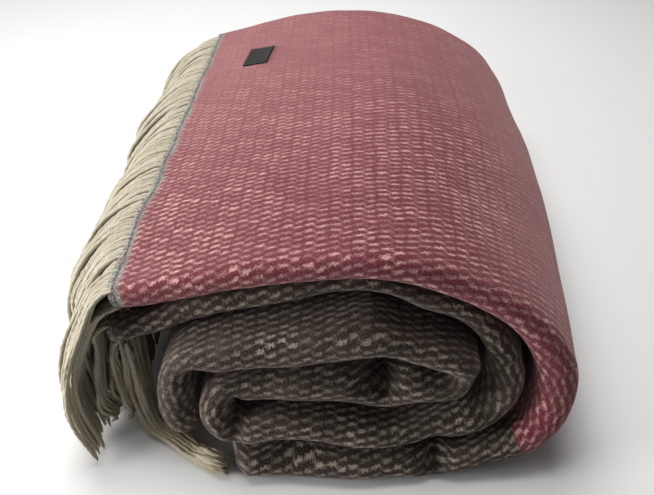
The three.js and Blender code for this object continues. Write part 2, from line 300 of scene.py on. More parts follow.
# Both faces of the folded cloth along these stations, joined round the edges.
def sheetPiece(name, stations):
    y, height, alongY, alongH = foldedLine(stations)
    rows, cols = y.shape
    half = blanket["clothThick"] / 2
    upper = place(stations, y - half * alongH, height + half * alongY)
    lower = place(stations, y + half * alongH, height - half * alongY)
    step = np.hypot(np.diff(y, axis=1), np.diff(height, axis=1))
    across = np.concatenate([np.zeros((rows, 1)), np.cumsum(step, axis=1)], axis=1)
    foldAt = blanket["plySteps"]["free"] + blanket["plySteps"]["frontFold"] // 2
    across = across - across[:, foldAt:foldAt + 1] + blanket["foldRun"]
    along = np.repeat(stations[:, 5:6], cols, axis=1)
    uv = np.column_stack([along.ravel(), across.ravel()]) / 1000
    return smoothMesh(name, np.vstack([upper, lower]), sheetFaces(rows, cols), np.vstack([uv, uv]))


def triangles(piece):
    return sum(len(p.vertices) - 2 for p in piece.data.polygons)


path = rollPath()
length = path[-1, 5]
cloth = sheetPiece("woolCloth", rollStations(path))
print("cloth", triangles(cloth), "triangles, run", round(length), "mm")


# Materials
def addNode(tree, kind, **settings):
    node = tree.nodes.new(kind)
    for key, value in settings.items():
        setattr(node, key, value)
    return node


def fill(tree, socket, value):
    if isinstance(value, bpy.types.NodeSocket):
        tree.links.new(value, socket)
    else:
        socket.default_value = value


def calc(tree, operation, *values, clamp=False):
    node = addNode(tree, "ShaderNodeMath", operation=operation, use_clamp=clamp)
    for socket, value in zip(node.inputs, values):
        fill(tree, socket, value)
    return node.outputs[0]


def product(tree, first, *others):
    for other in others:
        first = calc(tree, "MULTIPLY", first, other)
    return first


def added(tree, first, *others):
    for other in others:
        first = calc(tree, "ADD", first, other)
    return first


# How far a value lies from a middle.
def offMiddle(tree, value, middle):
    return calc(tree, "ABSOLUTE", calc(tree, "SUBTRACT", value, middle))


def ramp(tree, value, low, high, to=(0, 1)):
    node = addNode(tree, "ShaderNodeMapRange", interpolation_type="SMOOTHSTEP")
    for socket, item in zip(node.inputs, (value, low, high, *to)):
        fill(tree, socket, item)
    return node.outputs[0]


def mixColour(tree, factor, first, second):
    node = addNode(tree, "ShaderNodeMix", data_type="RGBA")
    fill(tree, node.inputs["Factor"], factor)
    fill(tree, node.inputs[6], first)
    fill(tree, node.inputs[7], second)
    return node.outputs[2]


# Multiplies a colour by a brightness.
def shaded(tree, tone, brightness):
    grey = addNode(tree, "ShaderNodeCombineColor")
    for socket in grey.inputs:
        fill(tree, socket, brightness)
    node = addNode(tree, "ShaderNodeMix", data_type="RGBA", blend_type="MULTIPLY")
    node.inputs["Factor"].default_value = 1.0
    fill(tree, node.inputs[6], tone)
    fill(tree, node.inputs[7], grey.outputs[0])
    return node.outputs[2]


def cloudy(tree, vector, scale, detail=2.0, roughness=0.5):
    node = addNode(tree, "ShaderNodeTexNoise")
    fill(tree, node.inputs["Vector"], vector)
    node.inputs["Scale"].default_value = scale
    node.inputs["Detail"].default_value = detail
    node.inputs["Roughness"].default_value = roughness
    return node.outputs[0]


def stretch(tree, vector, scale, offset=(0, 0, 0)):
    node = addNode(tree, "ShaderNodeMapping")
    fill(tree, node.inputs["Vector"], vector)
    node.inputs["Scale"].default_value = scale
    node.inputs["Location"].default_value = offset
    return node.outputs[0]


def axes(tree, vector):
    node = addNode(tree, "ShaderNodeSeparateXYZ")
    tree.links.new(vector, node.inputs[0])
    return node.outputs


def bumped(tree, shader, height, strength, distance):
    bump = addNode(tree, "ShaderNodeBump")
    bump.inputs["Strength"].default_value = strength
    bump.inputs["Distance"].default_value = distance
    tree.links.new(height, bump.inputs["Height"])
    tree.links.new(bump.outputs[0], shader.inputs["Normal"])


# A hex colour as linear light.
def colour(hexText):
    values = [int(hexText[i:i + 2], 16) / 255 for i in (0, 2, 4)]
    return (*[v / 12.92 if v <= 0.04045 else ((v + 0.055) / 1.055) ** 2.4 for v in values], 1.0)


def newMaterial(name, roughness, sheen, sheenTint):
    material = bpy.data.materials.new(name)
    material.use_nodes = True
    shader = material.node_tree.nodes["Principled BSDF"]
    shader.inputs["Roughness"].default_value = roughness
    shader.inputs["Specular IOR Level"].default_value = 0.12
    shader.inputs["Sheen Weight"].default_value = sheen
    shader.inputs["Sheen Roughness"].default_value = 0.5
    shader.inputs["Sheen Tint"].default_value = colour(sheenTint)
    return material, material.node_tree, shader


# The weave, in metres along the roll and across the width, and shares of one cell
weave = {
    "columnPitch": 0.0172,
    "rowPitch": 0.0067,
    "rowDrift": 0.12,          # each column's rows stand this much on from the last one's
    "pinkLength": 0.432,       # the pink panel, from its fringed end
    "panelJoin": 0.002,
    "bandLength": (0.0045, 0.0020),
    # Strokes of one cell: middle, slope, half length, half width and brightness
    "strokes": [
        {"column": 0.26, "row": 0.74, "slope": 0.45, "reach": 0.20, "girth": 0.20, "light": 1.0},
        {"column": 0.76, "row": 0.26, "slope": 0.45, "reach": 0.20, "girth": 0.20, "light": 0.95},
        {"column": 0.50, "row": 0.50, "slope": -2.0, "reach": 0.07, "girth": 0.22, "light": 0.4},
    ],
    "softSide": (1.75, 0.15),  # a stroke fades out between these shares of its half width
    "softEnd": (1.6, 0.3),
    # How the yarns wander: scale of the noise, reach in metres and place in the noise
    "wander": {
        "alongBroad": (60, 0.0060, (0, 0, 0)), "alongFine": (420, 0.0068, (5, 1, 0)),
        "acrossBroad": (75, 0.0048, (3, 1.7, 0)), "acrossFine": (520, 0.0045, (2, 8, 0)),
        "panelEdge": (110, 0.005, (7, 3, 0)), "bandEdge": (160, 0.006, (1, 9, 0)),
    },
    "floatLight": (0.5, 1.15),
    "middleTone": 0.34,        # the tone that the floats blur into where the nap hides them
    "fibreContrast": 1.1,
    # The brushed nap, whose darker haze is partly painted shade: where it sets in towards the rear and the
    # right, and how much it hides
    "rearBrushedAndShaded": (-0.17, 0.20), "rightBrushedAndShaded": (0.09, 0.19), "frontClear": (-0.25, -0.18),
    "mostBrushedAndShaded": 0.62,
    "brushedHazeAndShade": 0.45, "patchyHazeAndShade": 0.32,
    # The haze tones are darkened so that they also paint shade over the rear.
    "pinkGround": "682633", "pinkFloat": "dba8a3", "pinkHazeAndShade": "844a52",
    "greyGround": "2b231e", "greyFloat": "a69a8b", "greyHazeAndShade": "5a4f47",
    "bandDark": "3c3936", "bandLight": "a29d97",
    "relief": 0.0012,
}


# One stroke of the weave's cell, from 0 to its own brightness.
def strokeMark(tree, stroke, p, q):
    fromMiddle = calc(tree, "SUBTRACT", p, stroke["column"])
    centre = calc(tree, "MULTIPLY_ADD", fromMiddle, stroke["slope"], stroke["row"])
    side = offMiddle(tree, q, centre)
    side = calc(tree, "MINIMUM", side, calc(tree, "SUBTRACT", 1.0, side))
    along = calc(tree, "ABSOLUTE", fromMiddle)
    sideRange = [stroke["girth"] * share for share in weave["softSide"]]
    endRange = [stroke["reach"] * share for share in weave["softEnd"]]
    return product(tree, ramp(tree, side, *sideRange), ramp(tree, along, *endRange), stroke["light"])


def weaveMaterial():
    material, tree, shader = newMaterial("fulledWool", 0.95, 0.30, "e6cfca")
    uv = addNode(tree, "ShaderNodeUVMap", uv_map="UVMap").outputs[0]
    onPiece = addNode(tree, "ShaderNodeTexCoord").outputs["Object"]
    run, width = axes(tree, uv)[0:2]
    x, y = axes(tree, onPiece)[0:2]

    # Yarns wander, and their edges are ragged with loose fibres.
    def wander(name):
        scale, amount, offset = weave["wander"][name]
        drift = calc(tree, "SUBTRACT", cloudy(tree, stretch(tree, uv, (1, 1, 1), offset), scale, 2), 0.5)
        return calc(tree, "MULTIPLY", drift, amount)

    alongRoll = added(tree, run, wander("alongBroad"), wander("alongFine"))
    across = added(tree, width, wander("acrossBroad"), wander("acrossFine"))
    columns = calc(tree, "DIVIDE", alongRoll, weave["columnPitch"])
    column = calc(tree, "FLOOR", columns)
    rows = calc(tree, "DIVIDE", across, weave["rowPitch"])
    rows = added(tree, rows, calc(tree, "MULTIPLY", column, weave["rowDrift"]))
    row = calc(tree, "FLOOR", rows)
    p, q = calc(tree, "FRACT", columns), calc(tree, "FRACT", rows)
    floats = strokeMark(tree, weave["strokes"][0], p, q)
    for stroke in weave["strokes"][1:]:
        floats = calc(tree, "MAXIMUM", floats, strokeMark(tree, stroke, p, q))
    # Each float has its own brightness.
    cell = addNode(tree, "ShaderNodeCombineXYZ")
    fill(tree, cell.inputs[0], column)
    fill(tree, cell.inputs[1], row)
    own = addNode(tree, "ShaderNodeTexWhiteNoise", noise_dimensions="2D")
    fill(tree, own.inputs["Vector"], cell.outputs[0])
    ownLight = ramp(tree, own.outputs["Value"], 0, 1, weave["floatLight"])
    # Heathered fibres, drawn out along the yarns
    fibreA = cloudy(tree, stretch(tree, uv, (420, 1500, 1)), 1.0, 3, 0.6)
    fibreB = cloudy(tree, stretch(tree, uv, (1500, 620, 1)), 1.0, 2, 0.6)
    broad = cloudy(tree, onPiece, 13, 3, 0.55)
    patchy = cloudy(tree, onPiece, 40, 3, 0.6)
    # The nap is brushed up over the weave further back and down the right side; its darker haze there is
    # partly painted shade.
    most = (0.0, weave["mostBrushedAndShaded"])
    brushedAndShadedRight = product(tree, ramp(tree, x, *weave["rightBrushedAndShaded"], most),
                           ramp(tree, y, *weave["frontClear"]))
    brushedAndShaded = calc(tree, "MAXIMUM", ramp(tree, y, *weave["rearBrushedAndShaded"], most), brushedAndShadedRight)
    clear = calc(tree, "SUBTRACT", 1.0, brushedAndShaded)
    amount = product(tree, floats, ramp(tree, broad, 0.3, 0.7, (0.68, 1.0)), ownLight)
    amount = calc(tree, "MULTIPLY", calc(tree, "SUBTRACT", amount, weave["middleTone"]), clear)
    fibre = calc(tree, "MULTIPLY", calc(tree, "SUBTRACT", fibreA, 0.5), weave["fibreContrast"])
    amount = calc(tree, "ADD", added(tree, amount, weave["middleTone"]), fibre, clamp=True)
    # The haze: random patches of frosted nap, and the brushed rear and right, where its darker tone is
    # painted shade.
    hazeAndShade = added(tree, calc(tree, "MULTIPLY", ramp(tree, patchy, 0.42, 0.74), weave["patchyHazeAndShade"]),
                 calc(tree, "MULTIPLY", brushedAndShaded, weave["brushedHazeAndShade"]))
    tones = []
    for family in ("pink", "grey"):
        tone = mixColour(tree, amount, colour(weave[family + "Ground"]), colour(weave[family + "Float"]))
        tones.append(mixColour(tree, hazeAndShade, tone, colour(weave[family + "HazeAndShade"])))
    # The panels meet along a row of the weave, and a narrow band ends the cloth.
    isGrey = ramp(tree, added(tree, run, wander("panelEdge")),
                  weave["pinkLength"] - weave["panelJoin"], weave["pinkLength"] + weave["panelJoin"])
    tone = mixColour(tree, isGrey, *tones)
    bandTones = [colour(weave[name]) for name in ("bandDark", "bandLight")]
    band = mixColour(tree, ramp(tree, fibreB, 0.35, 0.65), *bandTones)
    isBand = ramp(tree, added(tree, run, wander("bandEdge")), *weave["bandLength"])
    tone = mixColour(tree, isBand, tone, band)
    tone = shaded(tree, tone, ramp(tree, fibreB, 0.22, 0.78, (0.78, 1.20)))
    tree.links.new(tone, shader.inputs["Base Color"])
    # Relief of the floats, and of loose fibres over them
    height = added(tree, product(tree, floats, 0.75, clear), calc(tree, "MULTIPLY", fibreA, 0.45),
                   calc(tree, "MULTIPLY", fibreB, 0.35))
    bumped(tree, shader, height, 0.9, weave["relief"])
    return material


cloth.data.materials.append(weaveMaterial())
print("weave made")


# The evaluated piece as a plain mesh, with its modifier gone.
def applied(piece):
    graph = bpy.context.evaluated_depsgraph_get()
    mesh = bpy.data.meshes.new_from_object(piece.evaluated_get(graph))
    piece.modifiers.clear()
    piece.data = mesh
    mesh.polygons.foreach_set("use_smooth", [True] * len(mesh.polygons))
    mesh.update()
    return piece


# A geometry tree with named number inputs, given as name: socket type.
def newTree(name, numbers):
    tree = bpy.data.node_groups.new(name, "GeometryNodeTree")
    tree.interface.new_socket("Geometry", in_out="INPUT", socket_type="NodeSocketGeometry")
    tree.interface.new_socket("Geometry", in_out="OUTPUT", socket_type="NodeSocketGeometry")
    keys = {}
    for title, kind in numbers.items():
        keys[title] = tree.interface.new_socket(title, in_out="INPUT", socket_type=kind).identifier
    return tree, keys, addNode(tree, "NodeGroupInput"), addNode(tree, "NodeGroupOutput")


def namedValue(tree, name):
    node = addNode(tree, "GeometryNodeInputNamedAttribute", data_type="FLOAT")
    node.inputs["Name"].default_value = name
    return node.outputs[0]


def painted(tree, geometry, material, finish):
    realize = addNode(tree, "GeometryNodeRealizeInstances")
    paint = addNode(tree, "GeometryNodeSetMaterial")
    paint.inputs["Material"].default_value = material
    tree.links.new(geometry, realize.inputs[0])
    tree.links.new(realize.outputs[0], paint.inputs["Geometry"])
    tree.links.new(paint.outputs[0], finish.inputs[0])


# Loose fibres of the nap, in metres
nap = {
    "count": 27000,
    "fibreLength": 0.0066,
    "fibreWidth": 0.00032,
    "bow": 0.45,               # how far a fibre bends over, as a share of its length
    "taper": 0.7,
    "rooted": 0.1,             # the share of a fibre that stands in the cloth
    "sizes": (0.45, 1.3),
    "lean": 1.25,              # radians at most
    "seed": 17,
    "clearance": 0.022,        # no fibres on faces whose normals meet the cloth within this
    "floorShadow": 0.012,      # or whose normals look down at the floor this close
    "greyFade": 0.006,         # the run over which the fibres turn from pink to grey
    "pink": ("8a4c54", "c79b98"), "grey": ("4a423c", "998f85"),
}


def napMaterial():
    material, tree, shader = newMaterial("looseWool", 1.0, 0.4, "f0e2dc")
    isGrey = addNode(tree, "ShaderNodeAttribute", attribute_name="greyShare").outputs["Fac"]
    onPiece = addNode(tree, "ShaderNodeTexCoord").outputs["Object"]
    spread = ramp(tree, cloudy(tree, onPiece, 900, 1), 0.3, 0.7)
    tones = [mixColour(tree, spread, *[colour(tone) for tone in nap[family]]) for family in ("pink", "grey")]
    tree.links.new(mixColour(tree, isGrey, *tones), shader.inputs["Base Color"])
    return material


def napTree(material):
    tree, keys, start, finish = newTree("looseFibres", {
        "Fibres per square metre": "NodeSocketFloat", "Fibre length": "NodeSocketFloat",
        "Fibre width": "NodeSocketFloat", "Seed": "NodeSocketInt"})
    scatter = addNode(tree, "GeometryNodeDistributePointsOnFaces")
    tree.links.new(start.outputs["Geometry"], scatter.inputs["Mesh"])
    tree.links.new(product(tree, namedValue(tree, "exposed"), start.outputs["Fibres per square metre"]),
                   scatter.inputs["Density"])
    tree.links.new(start.outputs["Seed"], scatter.inputs["Seed"])
    # One fibre: a narrow ribbon that rises, tapers and bows over
    grid = addNode(tree, "GeometryNodeMeshGrid")
    for key, value in (("Size X", 1.0), ("Size Y", 1.0), ("Vertices X", 2), ("Vertices Y", 4)):
        grid.inputs[key].default_value = value
    spot = axes(tree, addNode(tree, "GeometryNodeInputPosition").outputs[0])
    rise = calc(tree, "ADD", spot[1], 0.5)
    taper = calc(tree, "SUBTRACT", 1.0, calc(tree, "MULTIPLY", rise, nap["taper"]))
    stands = calc(tree, "SUBTRACT", rise, nap["rooted"])
    bent = addNode(tree, "ShaderNodeCombineXYZ")
    fill(tree, bent.inputs[0], product(tree, spot[0], taper, start.outputs["Fibre width"]))
    fill(tree, bent.inputs[1], product(tree, rise, rise, nap["bow"], start.outputs["Fibre length"]))
    fill(tree, bent.inputs[2], product(tree, stands, start.outputs["Fibre length"]))
    shaped = addNode(tree, "GeometryNodeSetPosition")
    tree.links.new(grid.outputs["Mesh"], shaped.inputs["Geometry"])
    tree.links.new(bent.outputs[0], shaped.inputs["Position"])
    instances = addNode(tree, "GeometryNodeInstanceOnPoints")
    tree.links.new(scatter.outputs["Points"], instances.inputs["Points"])
    tree.links.new(shaped.outputs[0], instances.inputs["Instance"])
    tree.links.new(scatter.outputs["Rotation"], instances.inputs["Rotation"])
    size = addNode(tree, "FunctionNodeRandomValue", data_type="FLOAT")
    size.inputs[2].default_value, size.inputs[3].default_value = nap["sizes"]
    tree.links.new(size.outputs[1], instances.inputs["Scale"])
    lean = addNode(tree, "FunctionNodeRandomValue", data_type="FLOAT_VECTOR")
    lean.inputs[0].default_value = (-nap["lean"], -nap["lean"], 0)
    lean.inputs[1].default_value = (nap["lean"], nap["lean"], 6.28)
    turned = addNode(tree, "GeometryNodeRotateInstances")
    tree.links.new(instances.outputs[0], turned.inputs["Instances"])
    tree.links.new(lean.outputs[0], turned.inputs["Rotation"])
    painted(tree, turned.outputs[0], material, finish)
    return tree, keys


# Marks the faces whose normals meet no cloth within the clearance, and how grey the cloth is there. The
# cloth's normals look inwards, so nearly all the marks fall on its rim and none on the middle of the top.
def markExposed(piece):
    mesh = piece.data
    surface = BVHTree.FromPolygons([v.co for v in mesh.vertices], [p.vertices[:] for p in mesh.polygons])
    exposed = np.zeros(len(mesh.polygons), np.float32)
    area = 0.0
    for polygon in mesh.polygons:
        if polygon.normal.z < -0.3 and polygon.center.z < nap["floorShadow"]:
            continue
        start = polygon.center + polygon.normal * 0.0006
        if surface.ray_cast(start, polygon.normal, nap["clearance"])[0] is None:
            exposed[polygon.index] = 1.0
            area += polygon.area
    mesh.attributes.new("exposed", "FLOAT", "FACE").data.foreach_set("value", exposed)
    loops = np.empty(len(mesh.loops), np.int32)
    mesh.loops.foreach_get("vertex_index", loops)
    uvs = np.empty(len(mesh.loops) * 2, np.float32)
    mesh.uv_layers[0].data.foreach_get("uv", uvs)
    grey = np.zeros(len(mesh.vertices), np.float32)
    grey[loops] = softStep((uvs[0::2] - weave["pinkLength"]) / nap["greyFade"] + 0.5)
    mesh.attributes.new("greyShare", "FLOAT", "POINT").data.foreach_set("value", grey)
    return area


def napPiece():
    area = markExposed(cloth)
    piece = bpy.data.objects.new("clothNap", cloth.data.copy())
    bpy.context.collection.objects.link(piece)
    tree, keys = napTree(napMaterial())
    modifier = piece.modifiers.new("nap", "NODES")
    modifier.node_group = tree
    modifier[keys["Fibres per square metre"]] = nap["count"] / area
    modifier[keys["Fibre length"]] = nap["fibreLength"]
    modifier[keys["Fibre width"]] = nap["fibreWidth"]
    modifier[keys["Seed"]] = nap["seed"]
    return applied(piece)


clothNap = napPiece()
print("nap", triangles(clothNap), "triangles")

# The fringe, in millimetres and shares
fringe = {
    "bandWidth": 5.2,
    "bandGap": 0.3,
    "rootAt": 2,               # the strands leave this far into the band
    "radius": 1.95,
    "girths": (0.84, 1.16),
    "twistPitch": 28.0,
    "plyDepth": 0.09,
    "points": 24,
    "crowding": 1.4,           # more strands stand towards the open end
    "lockWidth": 13,
    "lockPull": (0.1, 0.55),   # how far the strands of a lock draw together
    "lockSway": 8, "strandSway": 3,  # how far locks and strands lean to one side
    # Locks hang straighter and looser at the open end: the least share, and the depth where all is reached
    "swayEase": (0.35, 120), "pullEase": (0.3, 100),
    "lockReach": 0.11, "strandReach": 0.06,
    "waveOut": 2.6, "waveAlong": 3.4,
    "rootLean": 26, "leanFade": 60,  # how far the strands at the open end lean forwards
    # The strands fall closer to the roll at its open end, the outermost ply's most of all.
    "closer": {1: 0.30, 0: 0.08, -1: -0.02}, "rearReach": 0.36, "easeOut": 120,
    "aboveFloor": 2.2,
    "seed": 41,
    # Yarn from dark to light, its duller patches and the browner tone painted as shade near the floor; the
    # woven band
    "yarn": ("9f9681", "c3bcac"), "yarnPatch": "a49a83", "yarnShadeNearFloor": "a08c68",
    "band": ("353230", "a8a49d"),
}

# Rows of strands: the ply that they leave, their number, how far their tips lean forwards, and their bends:
# how far out from the end band, and height as a share of the band's. Rows that reach the floor end with
# bends in millimetres above it.
fringeRows = {
    "fringe_pink_end": [
        (1, 124, 30, [(15, 0.955), (31, 0.83), (46, 0.62), (50, 0.36), (41, 0.03)], []),
        (0, 116, 26, [(14, 0.95), (29, 0.82), (41, 0.61), (45, 0.36), (37, 0.03)], []),
        (-1, 100, 22, [(13, 0.96), (26, 0.83), (36, 0.6), (40, 0.36), (33, 0.04)], []),
    ],
    "fringe_grey_end": [
        (-1, 92, 14, [(9, 0.95), (11, 0.82), (11, 0.62), (11, 0.35)], [(10, 9), (11, 2.2), (14, 2.2)]),
        (0, 88, 12, [(7, 0.95), (8, 0.84), (8, 0.64), (8, 0.39)], [(7, 9), (8, 2.2), (11, 2.2)]),
        (1, 88, 10, [(6, 0.95), (6, 0.85), (5, 0.65), (5, 0.41)], [(4, 9), (5, 2.2), (8, 2.2)]),
    ],
}

# Strands of the grey end that are drawn under the roll at its open end: x, y, their lowest and highest z,
# and how far they spread along x and y.
tuckedStrands = {
    "count": 90,
    "girths": (0.9, 1.2),
    "jitter": 1.5,
    "path": [
        (-165, 30, 76, 90, 4, 20), (-164, 25, 56, 74, 5, 18), (-163, 17, 32, 50, 6, 15),
        (-159, 7, 9, 24, 6, 10), (-149, -8, 3, 11, 5, 6), (-128, -19, 2.5, 9, 5, 5),
        (-110, -32, 2.5, 10, 5, 5), (-97, -40, 2.5, 17, 3, 5), (-86, -44, 3, 17, 2, 5)],
}


# Evenly spaced points on a smooth line through the given ones.
def curveThrough(points, count):
    points = np.array(points)
    padded = np.vstack([2 * points[0] - points[1], points, 2 * points[-1] - points[-2]])
    dense = []
    for i in range(len(points) - 1):
        a, b, c, d = padded[i:i + 4]
        for t in np.arange(12) / 12:
            dense.append(0.5 * (2 * b + (c - a) * t + (2 * a - 5 * b + 4 * c - d) * t ** 2
                                + (3 * b - a - 3 * c + d) * t ** 3))
    dense.append(points[-1])
    dense = np.array(dense)
    run = np.concatenate([[0], np.cumsum(np.linalg.norm(np.diff(dense, axis=0), axis=1))])
    wanted = np.linspace(0, run[-1], count)
    return np.column_stack([np.interp(wanted, run, dense[:, k]) for k in range(3)])


# The y span over which each ply of the folded end carries strands.
def plySpans(station):
    half, front = station[2] / 2, station[3]
    rear = blanket["foldedDepth"] + blanket["frontShare"] * front
    return {
        1: (front + half - 5, rear - half),
        0: (front + half + 10, rear - half),
        -1: (front + half - 5, rear - blanket["selvageSetback"] - 4),
    }


# A station this far out from a fringed end of the cloth.
def beyondEnd(node, out):
    outward, end = (-1, 0) if node == "fringe_pink_end" else (1, length)
    return stationAt(path, end + outward * (fringe["bandGap"] + out))


# Rises from its least share at the open end to 1 this far back.
def eased(back, key):
    least, full = fringe[key]
    return least + (1 - least) * softStep(back / full)


# One lock of strands: its sway, reach, wave and pull.
def newLock(rng):
    return rng.uniform(-1, 1), rng.uniform(-1, 1), rng.uniform(0, 6.28), rng.uniform(*fringe["lockPull"])


# A strand's line in metres, with its twist phase and girth.
def finished(points, rng, girths):
    line = curveThrough(points, fringe["points"])
    line[:, 2] = np.maximum(line[:, 2], fringe["aboveFloor"])
    return line / 1000, rng.uniform(0, 6.28), rng.uniform(*girths)


# The bends of one strand below its root, from the end of the band.
def strandBends(rng, edge, bends, landing, reach, swing, drop, phase):
    short = 1 + rng.uniform(-0.04, 0.10)
    own = phase + rng.uniform(-0.5, 0.5)
    points = []
    for k, (out, share) in enumerate(bends):
        down = 1 - share
        wave = min(1, down * 2.2 + 0.25)
        lean = swing * min(1, 0.014 * out + 0.35 * down) - drop * down
        points.append((
            edge[0] - out * reach - fringe["waveOut"] * wave * math.sin(own + 1.9 * k),
            edge[1] + lean + fringe["waveAlong"] * wave * math.sin(own * 1.7 + 2.3 * k),
            edge[2] * share * (short if share < 0.3 else 1)))
    for out, z in landing:
        points.append((edge[0] - out * reach, edge[1] + swing * (1 - z / edge[2]), z + rng.uniform(0, 3)))
    return points


def strandLines(node, rows):
    rng = random.Random(fringe["seed"] + len(node))
    rootStation, edgeStation = [beyondEnd(node, fringe[out])[None, :] for out in ("rootAt", "bandWidth")]
    spans = plySpans(edgeStation[0])
    pitch = edgeStation[0, 2] / 2 - 1.5
    lines = []
    for ply, count, lean, bends, landing in rows:
        y0, y1 = spans[ply]
        locks = [newLock(rng) for _ in range(int((y1 - y0) / fringe["lockWidth"]) + 2)]
        for i in range(count):
            y = y0 + (y1 - y0) * ((i + 0.5 + rng.uniform(-0.3, 0.3)) / count) ** fringe["crowding"]
            spot = [np.array([[y]]), np.array([[ply * pitch + rng.uniform(-0.8, 0.8)]])]
            root, edge = [place(station, *spot)[0] * 1000 for station in (rootStation, edgeStation)]
            back = y - y0
            number = int(back / fringe["lockWidth"])
            sway, wide, phase, pull = locks[number]
            swing = fringe["lockSway"] * sway * eased(back, "swayEase") - lean
            swing += rng.uniform(-1, 1) * fringe["strandSway"]
            swing += ((number + 0.5) * fringe["lockWidth"] - back) * pull * eased(back, "pullEase")
            drop = fringe["rootLean"] * math.exp(-back / fringe["leanFade"])
            reach = 1 + fringe["lockReach"] * wide + rng.uniform(-1, 1) * fringe["strandReach"]
            if node == "fringe_pink_end":
                closer = fringe["closer"][ply]
                reach += (closer + fringe["rearReach"]) * softStep(back / fringe["easeOut"]) - closer
                reach -= rng.uniform(0, 0.08)
            points = [root, edge, *strandBends(rng, edge, bends, landing, reach, swing, drop, phase)]
            lines.append(finished(points, rng, fringe["girths"]))
    return lines


def tuckedLines():
    rng = random.Random(fringe["seed"] + 5)
    jitter = tuckedStrands["jitter"]
    lines = []
    for _ in range(tuckedStrands["count"]):
        level = rng.random()
        aside, forward = rng.uniform(-1, 1), rng.uniform(-1, 1)
        points = []
        for x, y, low, high, wide, deep in tuckedStrands["path"]:
            points.append((
                x + blanket["shift"][0] + wide * aside + rng.uniform(-jitter, jitter),
                y + blanket["shift"][1] + deep * forward + rng.uniform(-jitter, jitter),
                low + (high - low) * level))
        lines.append(finished(points, rng, tuckedStrands["girths"]))
    return lines


def strandTree(material):
    tree, keys, start, finish = newTree("twistedStrands", {
        name: "NodeSocketFloat" for name in ("Strand radius", "Twist pitch", "Ply depth")})
    toCurve = addNode(tree, "GeometryNodeMeshToCurve")
    tree.links.new(start.outputs["Geometry"], toCurve.inputs["Mesh"])
    reached = addNode(tree, "GeometryNodeSplineParameter").outputs["Length"]
    turns = calc(tree, "DIVIDE", calc(tree, "MULTIPLY", reached, 2 * math.pi), start.outputs["Twist pitch"])
    tilt = addNode(tree, "GeometryNodeSetCurveTilt")
    tree.links.new(toCurve.outputs[0], tilt.inputs["Curve"])
    tree.links.new(calc(tree, "ADD", turns, namedValue(tree, "phase")), tilt.inputs["Tilt"])
    # Two plies twisted together, seen in section
    circle = addNode(tree, "GeometryNodeCurvePrimitiveCircle")
    circle.inputs["Resolution"].default_value = 8
    circle.inputs["Radius"].default_value = 1.0
    aroundIt = addNode(tree, "GeometryNodeSplineParameter").outputs["Factor"]
    lobes = calc(tree, "COSINE", calc(tree, "MULTIPLY", aroundIt, 4 * math.pi))
    swell = calc(tree, "ADD", 1.0, calc(tree, "MULTIPLY", lobes, start.outputs["Ply depth"]))
    scaled = addNode(tree, "ShaderNodeVectorMath", operation="SCALE")
    tree.links.new(addNode(tree, "GeometryNodeInputPosition").outputs[0], scaled.inputs[0])
    tree.links.new(swell, scaled.inputs["Scale"])
    shaped = addNode(tree, "GeometryNodeSetPosition")
    tree.links.new(circle.outputs["Curve"], shaped.inputs["Geometry"])
    tree.links.new(scaled.outputs[0], shaped.inputs["Position"])
    tube = addNode(tree, "GeometryNodeCurveToMesh")
    tube.inputs["Fill Caps"].default_value = True
    tree.links.new(tilt.outputs[0], tube.inputs["Curve"])
    tree.links.new(shaped.outputs[0], tube.inputs["Profile Curve"])
    tree.links.new(product(tree, namedValue(tree, "girth"), start.outputs["Strand radius"]),
                   tube.inputs["Scale"])
    painted(tree, tube.outputs[0], material, finish)
    return tree, keys


def yarnMaterial():
    material, tree, shader = newMaterial("creamYarn", 0.92, 0.3, "fff6e6")
    onPiece = addNode(tree, "ShaderNodeTexCoord").outputs["Object"]
    fine = cloudy(tree, stretch(tree, onPiece, (1500, 1100, 700)), 1.0, 3, 0.6)
    broad = cloudy(tree, onPiece, 38, 3, 0.5)
    tone = mixColour(tree, ramp(tree, fine, 0.25, 0.75), *[colour(tone) for tone in fringe["yarn"]])
    patches = calc(tree, "MULTIPLY", ramp(tree, broad, 0.35, 0.7), 0.45)
    tone = mixColour(tree, patches, tone, colour(fringe["yarnPatch"]))
    # The strands grow browner near the floor: painted shade.
    low = ramp(tree, axes(tree, onPiece)[2], 0.11, 0.01, (0.0, 0.25))
    tone = mixColour(tree, low, tone, colour(fringe["yarnShadeNearFloor"]))
    tree.links.new(tone, shader.inputs["Base Color"])
    bumped(tree, shader, fine, 0.6, 0.0006)
    return material


twistTree, twistKeys = strandTree(yarnMaterial())


def fringePiece(name, lines):
    points, edges, phases, girths = [], [], [], []
    for line, phase, girth in lines:
        first = len(points)
        points.extend(tuple(p) for p in line)
        edges.extend((first + k, first + k + 1) for k in range(len(line) - 1))
        phases.extend([phase] * len(line))
        taper = [0.72] + [1.0] * (len(line) - 4) + [1.05, 0.85, 0.3]
        girths.extend([girth * t for t in taper])
    mesh = bpy.data.meshes.new(name)
    mesh.from_pydata(points, edges, [])
    for key, values in (("phase", phases), ("girth", girths)):
        mesh.attributes.new(key, "FLOAT", "POINT").data.foreach_set("value", values)
    piece = bpy.data.objects.new(name, mesh)
    bpy.context.collection.objects.link(piece)
    modifier = piece.modifiers.new("strands", "NODES")
    modifier.node_group = twistTree
    modifier[twistKeys["Strand radius"]] = fringe["radius"] / 1000
    modifier[twistKeys["Twist pitch"]] = fringe["twistPitch"] / 1000
    modifier[twistKeys["Ply depth"]] = fringe["plyDepth"]
    return applied(piece)


# Several finished pieces as one object, with their materials kept.
def joined(name, pieces):
    bpy.ops.object.select_all(action="DESELECT")
    for piece in pieces:
        piece.select_set(True)
    bpy.context.view_layer.objects.active = pieces[0]
    bpy.ops.object.join()
    pieces[0].name = name
    return pieces[0]


